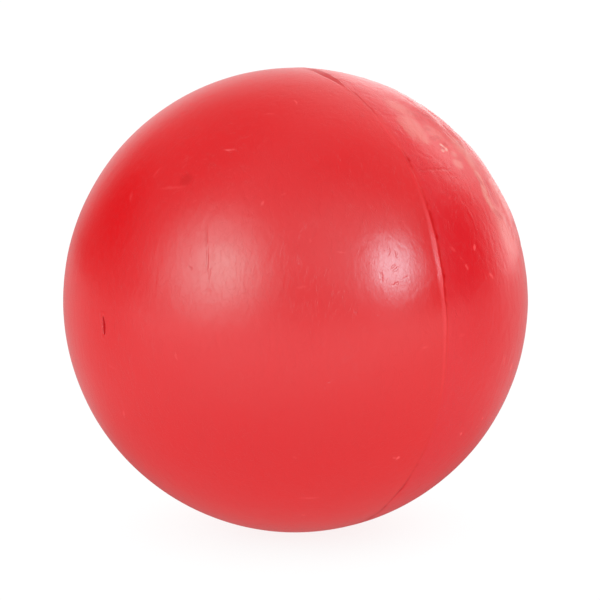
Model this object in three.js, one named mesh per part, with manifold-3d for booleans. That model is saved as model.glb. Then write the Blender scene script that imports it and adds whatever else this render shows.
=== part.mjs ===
// A hollow rubber ball for a dog to fetch and chew, about as big as a tennis ball.
//
// Two thick half shells are moulded apart and bonded rim to rim. The rims are bevelled inside
// and out, so the rubber cement between them swells into a low lip round the outside of the ball
// and a bead round the inside. One half has a flat land at its pole, with a seat for a plug of
// soft gum. The ball is filled with air by a needle pushed through the wall and the plug, which
// closes behind it. The needle leaves a short slit in the skin.
//
// Millimetres, +Z up, origin at the centre of the ball. Both halves are turned about the X axis:
// the smooth half is on the -X side, the wrinkled half on the +X side, and the seam between them
// stands upright in the YZ plane.

import * as THREE from "three";
import { mergeVertices } from "three/addons/utils/BufferGeometryUtils.js";
import Module from "manifold-3d";

// The ball and its wall
const BALL_DIAMETER = 65;
const WALL = 6;

// The bonded seam: the film of cement between the rims, the bevels that it fills, and how far it
// stands out of them
const CEMENT_FILM = 0.3;
const OUTER_BEVEL = 0.25;
const INNER_BEVEL = 1.2;
const LIP_RISE = 0.15;
const BEAD_RISE = 0.5;

// The plug, its seat, and the border of flat land round the seat
const PLUG_DIAMETER = 10;
const PLUG_HEIGHT = 3.4;
const PLUG_CROWN = 0.5;
const SEAT_DEPTH = 2.5;
const SEAT_CLEARANCE = 0.3;
const LAND_BORDER = 2.7;

// The needle's slit, which runs up and down and lies a little beside the smooth half's pole
const SLIT_LENGTH = 2.8;
const SLIT_WIDTH = 0.55;
const SLIT_DEPTH = 0.8;
const SLIT_OFFSET = 2;

// How finely the round surfaces are divided
const TURN_STEPS = 72;
const SKIN_STEPS = 18;
const HOLLOW_STEPS = 10;
const CROWN_STEPS = 4;
const PLUG_TURN_STEPS = 36;
const SLIT_STEPS = 12;

const SMOOTH_RUBBER = { color: 0xe0303a, roughness: 0.4 };
const WRINKLED_RUBBER = { color: 0xdc3540, roughness: 0.55 };
const RUBBER_CEMENT = { color: 0xe24b54, roughness: 0.45 };
const SOFT_GUM = { color: 0xc8a070, roughness: 0.6 };

const wasm = await Module();
wasm.setup();

// How far from the centre of a sphere the plane of a circle on it lies.
function planeOfCircle(sphereRadius, circleRadius) {
  return Math.sqrt(sphereRadius ** 2 - circleRadius ** 2);
}

// A profile is a list of points, each its distance from the X axis and its place along it. These
// are written for the +X half, and mirroring makes the -X half of them.
function mirrored(profile) {
  return profile.map(([radius, place]) => [radius, -place]).reverse();
}

// The stretch of a sphere's profile between two places on the axis.
function sphereArc(sphereRadius, fromPlace, toPlace, steps) {
  const start = Math.acos(fromPlace / sphereRadius);
  const turn = Math.acos(toPlace / sphereRadius) - start;
  return Array.from({ length: steps + 1 }, (_, i) => {
    const angle = start + (turn * i) / steps;
    return [sphereRadius * Math.sin(angle), sphereRadius * Math.cos(angle)];
  });
}

// A low parabolic crown over the two ends of a gap, on the right of the way from one to the
// other, without the ends.
function crown([fromRadius, fromPlace], [toRadius, toPlace], rise) {
  const [across, along] = [toRadius - fromRadius, toPlace - fromPlace];
  const span = Math.hypot(across, along);
  return Array.from({ length: CROWN_STEPS - 1 }, (_, i) => {
    const share = (i + 1) / CROWN_STEPS;
    const height = (4 * rise * share * (1 - share)) / span;
    return [fromRadius + across * share + along * height, fromPlace + along * share - across * height];
  });
}

// LatheGeometry turns a profile about Y. Swapping the axes round keeps every number exactly, so
// profiles that share points give surfaces that share them too.
function turned(profile, steps) {
  const points = profile.map(([radius, place]) => new THREE.Vector2(radius, place));
  const xFromY = new THREE.Matrix4().set(0, 1, 0, 0, 0, 0, 1, 0, 1, 0, 0, 0, 0, 0, 0, 1);
  return new THREE.LatheGeometry(points, steps).applyMatrix4(xFromY);
}

function solidOf(geometry) {
  const bare = geometry.clone().deleteAttribute("normal").deleteAttribute("uv");
  const merged = mergeVertices(bare);
  const vertProperties = merged.attributes.position.array;
  const triVerts = new Uint32Array(merged.index.array);
  return new wasm.Manifold(new wasm.Mesh({ numProp: 3, vertProperties, triVerts }));
}

function geometryOf(solid) {
  const { vertProperties, triVerts } = solid.getMesh();
  const geometry = new THREE.BufferGeometry();
  geometry.setAttribute("position", new THREE.BufferAttribute(vertProperties, 3));
  geometry.setIndex(new THREE.BufferAttribute(triVerts, 1));
  return geometry;
}

const ballRadius = BALL_DIAMETER / 2;
const hollowRadius = ballRadius - WALL;

// The bevelled rim, from the hollow to the skin. The cement has the same four points.
const rimPlace = CEMENT_FILM / 2;
const beadPlace = rimPlace + INNER_BEVEL;
const lipPlace = rimPlace + OUTER_BEVEL;
const beadEdge = [planeOfCircle(hollowRadius, beadPlace), beadPlace];
const lipEdge = [planeOfCircle(ballRadius, lipPlace), lipPlace];
const rim = [beadEdge, [beadEdge[0] + INNER_BEVEL, rimPlace], [lipEdge[0] - OUTER_BEVEL, rimPlace], lipEdge];

// The plug's seat, sunk from the flat land towards the skin.
const seatRadius = PLUG_DIAMETER / 2 + SEAT_CLEARANCE;
const landPlace = planeOfCircle(hollowRadius, seatRadius + LAND_BORDER);
const seatPlace = landPlace + SEAT_DEPTH;

// One half's profile, from its hollow's pole to the rim and back up the skin to its pole.
function halfProfile(seat, hollowTop) {
  const hollow = sphereArc(hollowRadius, hollowTop, beadPlace, HOLLOW_STEPS).slice(0, -1);
  const skin = sphereArc(ballRadius, lipPlace, ballRadius, SKIN_STEPS).slice(1);
  return [...seat, ...hollow, ...rim, ...skin];
}

function slitGeometry() {
  const slit = new THREE.SphereGeometry(1, SLIT_STEPS, SLIT_STEPS);
  slit.scale(SLIT_DEPTH, SLIT_WIDTH / 2, SLIT_LENGTH / 2);
  return slit.translate(-planeOfCircle(ballRadius, SLIT_OFFSET), -SLIT_OFFSET, 0);
}

function smoothHalfGeometry() {
  const seat = [
    [0, seatPlace],
    [seatRadius, seatPlace],
    [seatRadius, landPlace],
  ];
  const half = turned(mirrored(halfProfile(seat, landPlace)), TURN_STEPS);
  return geometryOf(solidOf(half).subtract(solidOf(slitGeometry())));
}

function wrinkledHalfGeometry() {
  return turned(halfProfile([], hollowRadius), TURN_STEPS);
}

// The cement fills the film and both bevels. Its lip stands out of the skin and its bead into
// the hollow.
function cementGeometry() {
  const otherRim = mirrored(rim);
  const lip = crown(otherRim[0], lipEdge, LIP_RISE);
  const bead = crown(beadEdge, otherRim.at(-1), BEAD_RISE);
  const profile = [...otherRim.slice(0, 1), ...lip, ...[...rim].reverse(), ...bead, ...[...otherRim].reverse()];
  return turned(profile, TURN_STEPS);
}

// The plug stands on the floor of its seat, with a low dome towards the middle of the ball.
function plugGeometry() {
  const radius = PLUG_DIAMETER / 2;
  const top = seatPlace - PLUG_HEIGHT;
  const dome = Array.from({ length: CROWN_STEPS + 1 }, (_, i) => {
    const share = i / CROWN_STEPS;
    return [radius * share, top + PLUG_CROWN * share ** 2];
  });
  return turned(mirrored([...dome, [radius, seatPlace], [0, seatPlace]]), PLUG_TURN_STEPS);
}

function piece(name, geometry, finish) {
  const mesh = new THREE.Mesh(geometry, new THREE.MeshStandardMaterial({ ...finish, metalness: 0 }));
  mesh.name = name;
  return mesh;
}

const ball = new THREE.Group();
ball.add(
  piece("smooth_half_shell", smoothHalfGeometry(), SMOOTH_RUBBER),
  piece("wrinkled_half_shell", wrinkledHalfGeometry(), WRINKLED_RUBBER),
  piece("seam_cement_ring", cementGeometry(), RUBBER_CEMENT),
  piece("self_sealing_plug", plugGeometry(), SOFT_GUM),
);

export default ball;
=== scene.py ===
"""Looks of a hollow red rubber ball for a dog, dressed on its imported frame.

The two half shells and the cement between them are made again as fine closed surfaces with the
relief that their skins show: the lip and groove of the bonded seam, the wrinkled skin of one
half, the needle's slit, dents and soft waves. Sizes are in millimetres until a mesh is written,
and every mesh is in metres in the frame's own place. Places on the skin that the photograph
shows are named pixels of its 600 by 600 picture, and the camera's own view puts them on the ball.
"""

import logging
import math
from dataclasses import dataclass, field
from enum import Enum

import bpy
import numpy as np
from mathutils import Matrix, Vector


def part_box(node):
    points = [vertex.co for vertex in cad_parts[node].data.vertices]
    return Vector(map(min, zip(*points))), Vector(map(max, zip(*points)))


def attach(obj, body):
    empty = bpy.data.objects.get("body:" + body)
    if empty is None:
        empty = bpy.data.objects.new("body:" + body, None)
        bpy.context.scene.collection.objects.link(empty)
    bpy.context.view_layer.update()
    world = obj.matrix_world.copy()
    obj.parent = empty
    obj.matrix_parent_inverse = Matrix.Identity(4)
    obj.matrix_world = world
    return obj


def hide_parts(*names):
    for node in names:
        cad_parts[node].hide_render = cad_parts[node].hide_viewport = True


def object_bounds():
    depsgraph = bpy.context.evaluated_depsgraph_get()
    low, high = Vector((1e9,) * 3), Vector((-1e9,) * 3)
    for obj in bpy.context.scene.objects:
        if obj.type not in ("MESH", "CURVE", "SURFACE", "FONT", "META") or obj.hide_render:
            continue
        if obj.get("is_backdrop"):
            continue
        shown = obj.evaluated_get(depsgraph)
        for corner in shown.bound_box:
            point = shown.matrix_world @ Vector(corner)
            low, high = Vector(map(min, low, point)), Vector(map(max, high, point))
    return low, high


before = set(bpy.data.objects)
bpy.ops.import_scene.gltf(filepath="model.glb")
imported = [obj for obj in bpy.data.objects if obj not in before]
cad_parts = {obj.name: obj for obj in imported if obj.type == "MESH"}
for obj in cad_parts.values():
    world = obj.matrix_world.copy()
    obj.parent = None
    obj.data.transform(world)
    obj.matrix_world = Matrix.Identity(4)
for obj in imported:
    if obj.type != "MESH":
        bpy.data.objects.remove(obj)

LOG = logging.getLogger("rubber_ball")

MM = 0.001
BODY = "root"
PICTURE = 600
LATTICE = 32
SHARP_ANGLE = math.radians(40)


class Half(Enum):
    """The two half shells, each with the side of the X axis that its pole is on."""

    SMOOTH = -1
    WRINKLED = 1


class MarkKind(Enum):
    """What a small mark on the skin is."""

    SCUFF = "scuff"
    SCRATCH = "scratch"
    STAIN = "stain"
    # Pale patches: partly wax bloom, partly a painted sheen of reflected light.
    BLOOM_AND_SHEEN = "bloom"


def linear(hex_colour: str) -> tuple[float, float, float, float]:
    """Turn an sRGB hex colour into linear RGBA.

    Args:
        hex_colour: the colour as six hex digits with a leading #.

    Returns:
        Red, green, blue and an alpha of 1.
    """
    levels = [int(hex_colour[i : i + 2], 16) / 255 for i in (1, 3, 5)]
    return (*(v / 12.92 if v <= 0.04045 else ((v + 0.055) / 1.055) ** 2.4 for v in levels), 1.0)


def ease(value: np.ndarray, start: float | np.ndarray, end: float | np.ndarray) -> np.ndarray:
    """Ease from 0 at start to 1 at end: three times the square of the share less twice its cube.

    Args:
        value: where to work the ease out.
        start: where it is 0.
        end: where it is 1.

    Returns:
        The eased share, in the shape of value.
    """
    share = np.clip((value - start) / (end - start), 0, 1)
    return share * share * (3 - 2 * share)


def lattice_noise(points: np.ndarray, spacing: float, seed: int) -> np.ndarray:
    """Smooth noise in space, blended from random values on a cubic lattice.

    The eight corners round a point are blended by the quintic ease of its place in the cell,
    6 s^5 - 15 s^4 + 10 s^3, along each axis. The values repeat after LATTICE cells.

    Args:
        points: places in millimetres, with x, y and z last.
        spacing: the lattice's cell in millimetres.
        seed: picks the random values.

    Returns:
        Noise from -1 to 1, one value for each point.
    """
    table = np.random.default_rng(seed).uniform(-1, 1, (LATTICE, LATTICE, LATTICE))
    scaled = points / spacing + LATTICE / 2
    cell = np.floor(scaled).astype(int)
    part = scaled - cell
    blend = part**3 * (part * (6 * part - 15) + 10)
    total = np.zeros(points.shape[:-1])
    for corner in np.ndindex(2, 2, 2):
        weight = np.prod(np.where(np.array(corner), blend, 1 - blend), axis=-1)
        place = (cell + corner) % LATTICE
        total += weight * table[place[..., 0], place[..., 1], place[..., 2]]
    return total


def crease_distance(points: np.ndarray, spacing: float, seed: int) -> np.ndarray:
    """How far each point is from the creases of a crumpled pattern.

    Seeds lie one to a lattice cell at a random place in it. A crease runs where the nearest two
    seeds are equally far, so the second distance less the first is 0 on it.

    Args:
        points: places in millimetres, with x, y and z last.
        spacing: the lattice's cell in millimetres.
        seed: picks the seeds' places.

    Returns:
        The difference of the two distances, in cells.
    """
    jitter = np.random.default_rng(seed).uniform(0, 1, (LATTICE, LATTICE, LATTICE, 3))
    scaled = points / spacing + LATTICE / 2
    cell = np.floor(scaled).astype(int)
    nearest = np.full(points.shape[:-1], np.inf)
    second = np.full(points.shape[:-1], np.inf)
    for step in np.ndindex(3, 3, 3):
        home = cell + np.array(step) - 1
        wrapped = home % LATTICE
        seeds = home + jitter[wrapped[..., 0], wrapped[..., 1], wrapped[..., 2]]
        distance = np.linalg.norm(seeds - scaled, axis=-1)
        second = np.minimum(second, np.maximum(nearest, distance))
        nearest = np.minimum(nearest, distance)
    return second - nearest


@dataclass(frozen=True)
class PhotoView:
    """The photograph's camera, found from the ball's outline and the seam's curve.

    The seam bends in the picture as a great circle seen from 8.76 ball radii away.
    """

    ball_radius: float
    azimuth: float = -36.56
    elevation: float = 9.15
    distance_in_radii: float = 8.76
    centre_pixel: tuple[float, float] = (295.5, 300.0)
    radius_in_pixels: float = 232.4
    sensor: float = 36.0

    @property
    def axes(self) -> np.ndarray:
        """Rows are the camera's right, up and backward directions in the part's frame."""
        a = math.radians(self.azimuth)
        e = math.radians(self.elevation)
        back = np.array([math.sin(a) * math.cos(e), -math.cos(a) * math.cos(e), math.sin(e)])
        right = np.array([math.cos(a), math.sin(a), 0.0])
        return np.array([right, np.cross(back, right), back])

    @property
    def outline_slope(self) -> float:
        """Tangent of the angle from the ball's centre to its outline, as the camera sees it."""
        return 1 / math.sqrt(self.distance_in_radii**2 - 1)

    def on_ball(self, pixel: tuple[float, float]) -> np.ndarray:
        """Find the direction from the ball's centre to what a pixel shows of it.

        The pixel's ray meets the unit sphere where the square of its length is 1, and the
        nearer of the two roots is the one that shows.

        Args:
            pixel: across and down in the picture.

        Returns:
            A unit vector in the part's frame.
        """
        right, up, back = self.axes
        scale = self.outline_slope / self.radius_in_pixels
        across = (pixel[0] - self.centre_pixel[0]) * scale
        above = (self.centre_pixel[1] - pixel[1]) * scale
        ray = across * right + above * up - back
        eye = self.distance_in_radii * back
        half_b = eye @ ray
        root = math.sqrt(max(half_b**2 - (ray @ ray) * (eye @ eye - 1), 0.0))
        point = eye - (half_b + root) / (ray @ ray) * ray
        return point / np.linalg.norm(point)

    def direction(self, right: float, up: float, back: float) -> np.ndarray:
        """Turn a direction given by the camera's right, up and back into the part's frame."""
        vector = np.array([right, up, back]) @ self.axes
        return vector / np.linalg.norm(vector)

    def place_camera(self) -> bpy.types.Object:
        """Make the scene's camera at the photograph's place.

        Returns:
            The camera's object.
        """
        data = bpy.data.cameras.new("photo_camera")
        camera = bpy.data.objects.new("photo_camera", data)
        bpy.context.collection.objects.link(camera)
        half_width = self.outline_slope * (PICTURE / 2) / self.radius_in_pixels
        data.sensor_width = self.sensor
        data.lens = self.sensor / 2 / half_width
        data.shift_x = (PICTURE / 2 - self.centre_pixel[0]) / PICTURE
        data.clip_start = 0.01
        turn = Matrix(self.axes.tolist()).transposed().to_4x4()
        place = Vector(self.axes[2] * self.distance_in_radii * self.ball_radius * MM)
        camera.matrix_world = Matrix.Translation(place) @ turn
        bpy.context.scene.camera = camera
        return camera


@dataclass(frozen=True)
class SeamStretch:
    """How the seam looks at one angle round it.

    at is in degrees, 90 at the top and 0 at the front. The lip slopes up from the smooth half
    over slope_width to lip_rise, and drops at the parting line, which wanders off the seam's
    plane. A crack of the given depth and width lies behind the drop. Painted shade darkens the
    seam behind the parting line, and a painted highlight pales the lip before it, where 1 is the
    most of either. Where the flash was trimmed with a blade, the slope starts that much below the
    skin.
    """

    at: float
    lip_rise: float = 0.0
    slope_width: float = 0.4
    crack: float = 0.0
    crack_width: float = 0.3
    wander: float = 0.0
    painted_shade: float = 0.0
    painted_lip_highlight: float = 0.0
    trim: float = 0.0


SEAM_STRETCHES = (
    SeamStretch(-175, crack=0.05, wander=0.05, painted_shade=0.4),
    SeamStretch(-150, 0.03, crack=0.03, wander=-0.1, painted_shade=0.2, painted_lip_highlight=0.3),
    SeamStretch(-125, 0.08, 0.7, 0.05, wander=0.1, painted_shade=0.5, painted_lip_highlight=0.8),
    SeamStretch(-100, 0.05, 0.5, 0.04, painted_shade=0.3, painted_lip_highlight=0.3),
    SeamStretch(-78, crack=0.05, crack_width=0.4, wander=0.3, painted_shade=0.4),
    SeamStretch(-62, crack=0.03, crack_width=1.0, wander=0.35, painted_shade=0.9),
    SeamStretch(-56, crack=0.03, crack_width=1.0, wander=0.25, painted_shade=0.9),
    SeamStretch(-52, crack=0.04, crack_width=0.5, wander=0.05, painted_shade=0.6),
    SeamStretch(-48, crack=0.04, crack_width=0.45, wander=-0.05, painted_shade=0.8),
    SeamStretch(-40, crack=0.02, crack_width=0.45, wander=-0.1, painted_shade=0.5),
    SeamStretch(-33, crack=0.01, crack_width=0.4, wander=-0.15, painted_shade=0.2),
    SeamStretch(-22),
    SeamStretch(-16, 0.01, 0.45, wander=0.25),
    SeamStretch(-12, 0.03, 0.45, wander=0.15, painted_lip_highlight=0.15),
    SeamStretch(-5, 0.055, 0.55, wander=-0.05, painted_lip_highlight=0.2),
    SeamStretch(1, 0.06, 0.6, wander=-0.12, painted_lip_highlight=0.28),
    SeamStretch(6, 0.065, 0.6, wander=-0.17, crack_width=0.4, painted_shade=0.3, painted_lip_highlight=0.38),
    SeamStretch(10, 0.07, 0.7, wander=-0.21, crack_width=0.45, painted_shade=0.8, painted_lip_highlight=0.6),
    SeamStretch(15, 0.075, 0.7, wander=-0.22, crack_width=0.5, painted_shade=0.9, painted_lip_highlight=0.8),
    SeamStretch(20, 0.07, 0.7, wander=-0.22, crack_width=0.5, painted_shade=0.9, painted_lip_highlight=0.7),
    SeamStretch(25, 0.05, 0.65, wander=-0.21, crack_width=0.45, painted_shade=0.65, painted_lip_highlight=0.5),
    SeamStretch(31, 0.03, 0.5, wander=-0.2, crack_width=0.5, painted_shade=0.4, painted_lip_highlight=0.25),
    SeamStretch(37, 0.025, 0.45, wander=-0.28, crack_width=0.5, painted_lip_highlight=0.25),
    SeamStretch(42, 0.02, 0.4, wander=-0.2, crack_width=0.7, painted_shade=0.9, painted_lip_highlight=0.2),
    SeamStretch(45, 0.01, wander=-0.3, crack_width=0.5, painted_lip_highlight=0.3),
    SeamStretch(55, wander=-0.4, painted_lip_highlight=0.25),
    SeamStretch(57.5, crack=0.015, crack_width=0.5, wander=-0.5, painted_shade=0.3),
    SeamStretch(62, crack=0.02, crack_width=0.5, wander=-0.45, painted_shade=0.6),
    SeamStretch(66, crack=0.02, crack_width=0.5, wander=-0.35, painted_shade=0.6),
    SeamStretch(69, 0.02, 0.5, 0.03, wander=-0.1, painted_shade=0.5),
    SeamStretch(71, 0.05, 0.8, 0.05, wander=0.05, painted_shade=0.4, trim=0.04),
    SeamStretch(74, 0.08, 1.3, 0.04, wander=0.45, painted_shade=0.25, trim=0.07),
    SeamStretch(79, 0.08, 1.5, 0.05, wander=0.8, painted_shade=0.25, trim=0.08),
    SeamStretch(84, 0.07, 1.4, 0.05, wander=1.2, painted_shade=0.3, trim=0.06),
    SeamStretch(90, 0.04, 0.8, 0.06, wander=1.4, painted_shade=0.5),
    SeamStretch(97, 0.03, 0.5, 0.06, wander=1.2, painted_shade=0.4, painted_lip_highlight=0.2),
    SeamStretch(112, 0.05, 0.6, 0.05, wander=0.3, painted_shade=0.3, painted_lip_highlight=0.5),
    SeamStretch(132, 0.08, 0.7, 0.06, wander=-0.1, painted_shade=0.5, painted_lip_highlight=0.8),
    SeamStretch(160, 0.04, 0.5, 0.04, wander=0.1, painted_shade=0.4, painted_lip_highlight=0.3),
)


@dataclass
class Skin:
    """What the skin is like at each point: its relief in millimetres, and how it is coloured.

    Painted shade darkens the seam and the slit, wax bloom with a painted sheen of reflected
    light pales the wrinkled half, and a painted highlight brightens the seam's lip. Each of them
    runs from 0 to 1.
    """

    relief: np.ndarray
    painted_shade: np.ndarray
    bloom: np.ndarray
    painted_lip_highlight: np.ndarray

    @property
    def layers(self) -> dict[str, np.ndarray]:
        """What colours the skin, by attribute name."""
        return {"painted_shade": self.painted_shade, "bloom": self.bloom, "painted_lip_highlight": self.painted_lip_highlight}


@dataclass
class Relief:
    """How far the ball's skin stands out of a true sphere, in millimetres.

    Ragged and rough noise make the seam uneven. The wrinkles fade out between two angles from
    their direction, in degrees, and between two distances from the seam, each given as where
    they are gone and where they are whole. A faint share of them lies on the rest of their half.
    """

    view: PhotoView
    radius: float
    drop_width: float = 0.3
    crack_power: float = 0.8
    trim_edge: float = 0.12
    # Painted shade in the trimmed hollow at the top of the seam.
    trim_painted_shade: float = 11.0
    trim_painted_shade_edge: float = 0.3
    ragged_size: float = 0.6
    rough_size: float = 2.3
    ragged_seed: int = 11
    wave_rise: float = 0.02
    broad_wave: float = 9.0
    small_wave: float = 4.0
    crumple_rise: float = 0.15
    crumple_cell: float = 4.5
    crumple_towards: tuple[float, float, float] = (0.72, 0.56, -0.4)
    crumple_angles: tuple[float, float] = (60.0, 40.0)
    crumple_from_seam: tuple[float, float] = (0.4, 2.5)
    crumple_elsewhere: float = 0.1
    drawn_out: tuple[float, float, float] = (1.0, 0.8, 0.65)
    shift_reach: float = 1.6
    shift_size: float = 5.0
    lump_size: float = 3.2
    small_lump_size: float = 1.6
    fold_width: float = 0.1
    patch_size: float = 11.0
    cloud_size: float = 2.6
    small_cloud_size: float = 1.1
    # Pale clouds: wax bloom with a painted sheen.
    bloom_and_sheen_share: float = 0.15
    slit_ends: tuple[tuple[float, float], tuple[float, float]] = ((102.9, 316.5), (104.2, 334.5))
    slit_width: float = 0.7
    slit_depth: float = 0.3
    slit_power: float = 0.7
    slit_bow: float = 0.12
    slit_lip: float = 0.035
    slit_lip_away: float = 0.15
    slit_lip_width: float = 0.2

    def seam(self, across: np.ndarray, turn: np.ndarray, points: np.ndarray) -> Skin:
        """The bonded seam on a smooth ball.

        The slope runs in a straight line from the trim's depth to the lip's rise, and ends in
        an eased drop at the parting line. The crack behind it is as deep as the share of its
        half width left, to a power, and the shade painted in it is a bell curve across it. The
        painted highlight grows over the slope's first half and ends at the parting line. Noise
        times a share, such as 0.15, makes each of them uneven.

        Args:
            across: distance from the seam's plane along the skin, + on the wrinkled half.
            turn: angle round the seam in degrees.
            points: places on the sphere in millimetres, with x, y and z last.

        Returns:
            The skin at each point.
        """
        stretches = SEAM_STRETCHES
        keys = [s.at for s in stretches]

        def along(values: list[float]) -> np.ndarray:
            """Values between the stretches, joined round the seam."""
            return np.interp(turn, keys, values, period=360)

        around = points * np.array([0.0, 1.0, 1.0])
        ragged = lattice_noise(around, self.ragged_size, self.ragged_seed)
        rough = lattice_noise(around, self.rough_size, self.ragged_seed + 1)
        rise = along([s.lip_rise for s in stretches]) * (1 + 0.15 * ragged + 0.2 * rough)
        width = along([s.slope_width for s in stretches]) * (1 + 0.15 * rough)
        trim = along([s.trim for s in stretches])
        depth = along([s.crack for s in stretches]) * (1 + 0.35 * ragged)
        opening = along([s.crack_width for s in stretches]) * (1 + 0.3 * ragged)
        parting = along([s.wander for s in stretches]) + 0.04 * rough + 0.03 * ragged
        past = across - parting
        share = np.clip(1 + past / width, 0, 1)
        slope = rise * share - trim * (1 - share) * ease(past + width, 0, self.trim_edge)
        lip = slope * (1 - ease(past, 0, self.drop_width))
        crack = depth * np.clip(1 - np.abs(2 * past / opening - 1), 0, 1) ** self.crack_power
        # Painted shade in the crack behind the parting line, and in the trimmed hollow.
        painted_shade = along([s.painted_shade for s in stretches]) * (1 + 0.5 * ragged)
        painted_shade = painted_shade * np.exp(-((2 * past / opening - 1) ** 2))
        trimmed = self.trim_painted_shade * trim * ease(past + width, 0, self.trim_painted_shade_edge)
        trimmed = trimmed * (1 - ease(past, 0, self.trim_painted_shade_edge))
        # Painted highlight over the lip's slope, ending at the parting line.
        lip_highlight = along([s.painted_lip_highlight for s in stretches]) * (1 + 0.3 * ragged)
        lip_highlight = lip_highlight * ease(past, -width, -0.5 * width) * (1 - ease(past, -0.1, 0.05))
        return Skin(lip - crack, np.maximum(painted_shade, trimmed), np.zeros_like(painted_shade), lip_highlight)

    def waves(self, points: np.ndarray) -> np.ndarray:
        """Broad soft waves of the moulded skin: broad noise and half as much small noise."""
        broad = lattice_noise(points, self.broad_wave, 21)
        small = lattice_noise(points, self.small_wave, 22)
        return self.wave_rise * (broad + 0.5 * small)

    def crumple(self, points: np.ndarray) -> tuple[np.ndarray, np.ndarray]:
        """Wrinkles, and wax bloom with painted sheen, of the wrinkled half's skin, strongest at the
        picture's upper right.

        The places are shifted by broad noise and drawn out up and down and from front to back.
        Lumps of two sizes lie on the skin, and it sinks in a bell curve along stretches of the
        creases of a crumpled pattern. The bloom, partly wax and partly a painted sheen of the bright
        studio reflected near the outline, is noise of two sizes, eased into soft clouds.

        Args:
            points: places on the sphere in millimetres, with x, y and z last.

        Returns:
            The relief, and the wax bloom with painted sheen, at each point.
        """
        shift = np.stack([lattice_noise(points, self.shift_size, 31 + i) for i in range(3)], axis=-1)
        drawn = (points + self.shift_reach * shift) * np.array(self.drawn_out)
        lumps = lattice_noise(drawn, self.lump_size, 34)
        lumps += 0.35 * lattice_noise(drawn, self.small_lump_size, 35)
        crease = crease_distance(drawn, self.crumple_cell, 37)
        broken = ease(lattice_noise(points, self.cloud_size, 38), 0.0, 0.5)
        folds = broken * np.exp(-((crease / self.fold_width) ** 2))
        facing = points @ self.view.direction(*self.crumple_towards) / self.radius
        gone, whole = (math.cos(math.radians(angle)) for angle in self.crumple_angles)
        near = ease(facing, gone, whole)
        patchy = ease(lattice_noise(points, self.patch_size, 39), -0.3, 0.6)
        strength = np.maximum(near, self.crumple_elsewhere * patchy)
        relief = self.crumple_rise * strength * (0.6 * lumps - 0.4 * folds)
        clouds = lattice_noise(drawn, self.cloud_size, 40)
        clouds += 0.7 * lattice_noise(drawn, self.small_cloud_size, 41)
        # Pale clouds: partly wax bloom, partly painted sheen where the outline reflects the bright studio.
        return relief, self.bloom_and_sheen_share * near * ease(clouds, -0.4, 0.9)

    def slit(self, points: np.ndarray) -> tuple[np.ndarray, np.ndarray]:
        """The needle's slit: a lens-shaped cut with slightly raised lips, and painted shade inside.

        The cut's half width is that of an ellipse, and its depth is the share of the half width
        left, to a power. The lips are a bell curve round it.

        Args:
            points: places on the sphere in millimetres, with x, y and z last.

        Returns:
            The relief and the grime at each point.
        """
        top, low = (self.view.on_ball(end) * self.radius for end in self.slit_ends)
        middle = (top + low) / 2
        half_length = np.linalg.norm(top - low) / 2
        along = (low - top) / (2 * half_length)
        aside = np.cross(middle / np.linalg.norm(middle), along)
        offset = points - middle
        lengthwise = offset @ along / half_length
        bow = self.slit_bow * (1 - lengthwise**2)
        sidewise = offset @ aside - bow
        open_half = self.slit_width / 2 * np.sqrt(np.clip(1 - lengthwise**2, 1e-6, 1))
        share = np.clip(1 - np.abs(sidewise) / open_half, 0, 1)
        cut = self.slit_depth * np.where(np.abs(lengthwise) < 1, share**self.slit_power, 0)
        ring = np.hypot(np.maximum(np.abs(lengthwise) - 1, 0) * half_length, np.abs(sidewise))
        off_lip = ring - self.slit_width / 2 - self.slit_lip_away
        lips = self.slit_lip * np.exp(-((off_lip / self.slit_lip_width) ** 2))
        near = np.linalg.norm(offset, axis=-1) < 3 * half_length
        # Painted shade inside the cut, darkest along its middle.
        dark = np.where(near & (np.abs(lengthwise) < 1), ease(share, 0.0, 0.25), 0)
        return np.where(near, lips - cut, 0), dark

    def skin(self, directions: np.ndarray) -> Skin:
        """The whole relief of the skin, with its painted shade, its wax bloom and painted sheen, and the
        lip's painted highlight.

        Args:
            directions: unit vectors from the ball's centre, with x, y and z last.

        Returns:
            The skin at each of them.
        """
        points = directions * self.radius
        across = np.arcsin(np.clip(directions[..., 0], -1, 1)) * self.radius
        turn = np.degrees(np.arctan2(directions[..., 2], -directions[..., 1]))
        skin = self.seam(across, turn, points)
        wrinkles, bloom = self.crumple(points)
        wrinkled = ease(across, *self.crumple_from_seam)
        cut, dark = self.slit(points)
        smooth = directions[..., 0] < 0
        skin.relief = skin.relief + self.waves(points) + wrinkled * wrinkles + np.where(smooth, cut, 0)
        skin.painted_shade = np.maximum(skin.painted_shade, np.where(smooth, dark, 0))
        skin.bloom = wrinkled * bloom
        return skin


def grid_faces(rows: int, columns: int, close_rows: bool) -> np.ndarray:
    """Quads of a grid of points whose columns close round on themselves.

    Args:
        rows: how many rows of points.
        columns: how many points in a row.
        close_rows: whether the last row joins the first.

    Returns:
        Four point numbers for each quad, facing out where rows run up and columns run round.
    """
    low = np.arange(rows if close_rows else rows - 1)
    column = np.arange(columns)
    here = low[:, None] * columns + column
    aside = low[:, None] * columns + (column + 1) % columns
    above = ((low[:, None] + 1) % rows) * columns + column
    across = ((low[:, None] + 1) % rows) * columns + (column + 1) % columns
    return np.stack([here, aside, across, above], axis=-1).reshape(-1, 4)


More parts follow.
